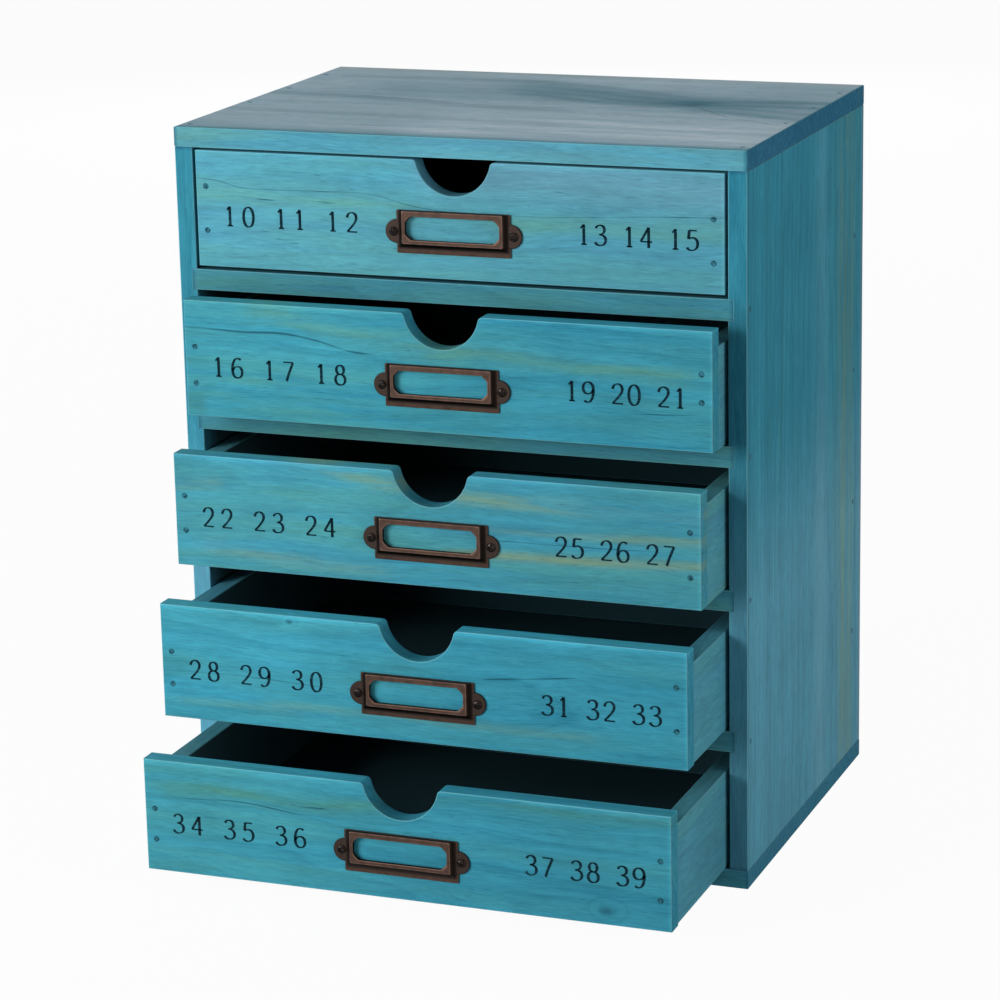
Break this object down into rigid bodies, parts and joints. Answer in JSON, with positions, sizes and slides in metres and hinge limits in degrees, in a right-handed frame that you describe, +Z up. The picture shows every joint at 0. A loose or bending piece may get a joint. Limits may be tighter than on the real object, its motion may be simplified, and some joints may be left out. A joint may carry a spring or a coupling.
{
  "type": "button storage drawers",
  "caption": "Small wooden tabletop cabinet of stacked open-topped drawers for buttons, each with a half-round finger notch and a metal label holder.",
  "frame": {"origin": "centre of the cabinet's underside, on the surface that it stands on", "axes": "+X to the right seen from the front, +Y to the back, +Z up"},
  "size_m": [0.25, 0.2535, 0.311],
  "materials": {
    "stained_pine": "teal-blue stain on planed pine, satin",
    "stained_plywood": "teal-blue stain on thin plywood, matt",
    "aged_copper_plate": "dark antique copper, rubbed on the edges",
    "blackened_screw_steel": "blackened steel",
    "dark_nail_steel": "dull steel, stained over"
  },
  "bodies": {
    "cabinet": {"back_nails": "dark_nail_steel", "back_panel": "stained_plywood", "bottom_nails": "dark_nail_steel", "bottom_panel": "stained_pine", "left_shelf_nails": "dark_nail_steel", "left_side": "stained_pine", "right_shelf_nails": "dark_nail_steel", "right_side": "stained_pine", "shelf_1": "stained_pine", "shelf_2": "stained_pine", "shelf_3": "stained_pine", "shelf_4": "stained_pine", "top_nails": "dark_nail_steel", "top_panel": "stained_pine"},
    "drawer_1": {"drawer_1_back": "stained_pine", "drawer_1_floor": "stained_plywood", "drawer_1_front": "stained_pine", "drawer_1_label_holder": "aged_copper_plate", "drawer_1_label_screws": "blackened_screw_steel", "drawer_1_left_side": "stained_pine", "drawer_1_nails": "dark_nail_steel", "drawer_1_right_side": "stained_pine"},
    "drawer_2": {"drawer_2_back": "stained_pine", "drawer_2_floor": "stained_plywood", "drawer_2_front": "stained_pine", "drawer_2_label_holder": "aged_copper_plate", "drawer_2_label_screws": "blackened_screw_steel", "drawer_2_left_side": "stained_pine", "drawer_2_nails": "dark_nail_steel", "drawer_2_right_side": "stained_pine"},
    "drawer_3": {"drawer_3_back": "stained_pine", "drawer_3_floor": "stained_plywood", "drawer_3_front": "stained_pine", "drawer_3_label_holder": "aged_copper_plate", "drawer_3_label_screws": "blackened_screw_steel", "drawer_3_left_side": "stained_pine", "drawer_3_nails": "dark_nail_steel", "drawer_3_right_side": "stained_pine"},
    "drawer_4": {"drawer_4_back": "stained_pine", "drawer_4_floor": "stained_plywood", "drawer_4_front": "stained_pine", "drawer_4_label_holder": "aged_copper_plate", "drawer_4_label_screws": "blackened_screw_steel", "drawer_4_left_side": "stained_pine", "drawer_4_nails": "dark_nail_steel", "drawer_4_right_side": "stained_pine"},
    "drawer_5": {"drawer_5_back": "stained_pine", "drawer_5_floor": "stained_plywood", "drawer_5_front": "stained_pine", "drawer_5_label_holder": "aged_copper_plate", "drawer_5_label_screws": "blackened_screw_steel", "drawer_5_left_side": "stained_pine", "drawer_5_nails": "dark_nail_steel", "drawer_5_right_side": "stained_pine"}
  },
  "joints": [
    {"name": "drawer_1_slide", "type": "slide", "parent": "cabinet", "child": "drawer_1", "axis": [0, -1, 0], "range_m": [0, 0.15]},
    {"name": "drawer_2_slide", "type": "slide", "parent": "cabinet", "child": "drawer_2", "axis": [0, -1, 0], "range_m": [-0.017, 0.133]},
    {"name": "drawer_3_slide", "type": "slide", "parent": "cabinet", "child": "drawer_3", "axis": [0, -1, 0], "range_m": [-0.033, 0.117]},
    {"name": "drawer_4_slide", "type": "slide", "parent": "cabinet", "child": "drawer_4", "axis": [0, -1, 0], "range_m": [-0.052, 0.098]},
    {"name": "drawer_5_slide", "type": "slide", "parent": "cabinet", "child": "drawer_5", "axis": [0, -1, 0], "range_m": [-0.074, 0.076]}
  ]
}
